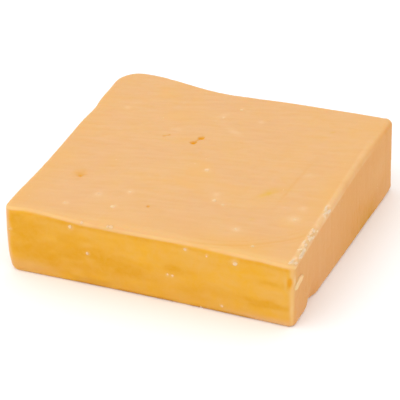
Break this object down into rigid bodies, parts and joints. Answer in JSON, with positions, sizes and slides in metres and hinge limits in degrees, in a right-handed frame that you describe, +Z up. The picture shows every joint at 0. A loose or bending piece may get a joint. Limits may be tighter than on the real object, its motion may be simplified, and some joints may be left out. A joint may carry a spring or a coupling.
{
  "type": "cheddar block",
  "caption": "Thick, nearly square slab of orange cheddar with soft uneven edges, one bulging corner and small openings in the curd.",
  "frame": {"origin": "middle of the block's own footprint, on the surface it lies on", "axes": "+Z up through the thickness, +X along the wide front cut face to the right, +Y from the front face to the back"},
  "size_m": [0.1224, 0.119, 0.0329],
  "materials": {
    "cheddar": "firm orange cheese: a dull, dry skin on top and a waxy golden cut face",
    "curd_crystals": "pale, dry crystals and crumbs of curd"
  },
  "bodies": {
    "root": {"cheese_block": "cheddar"}
  },
  "joints": []
}
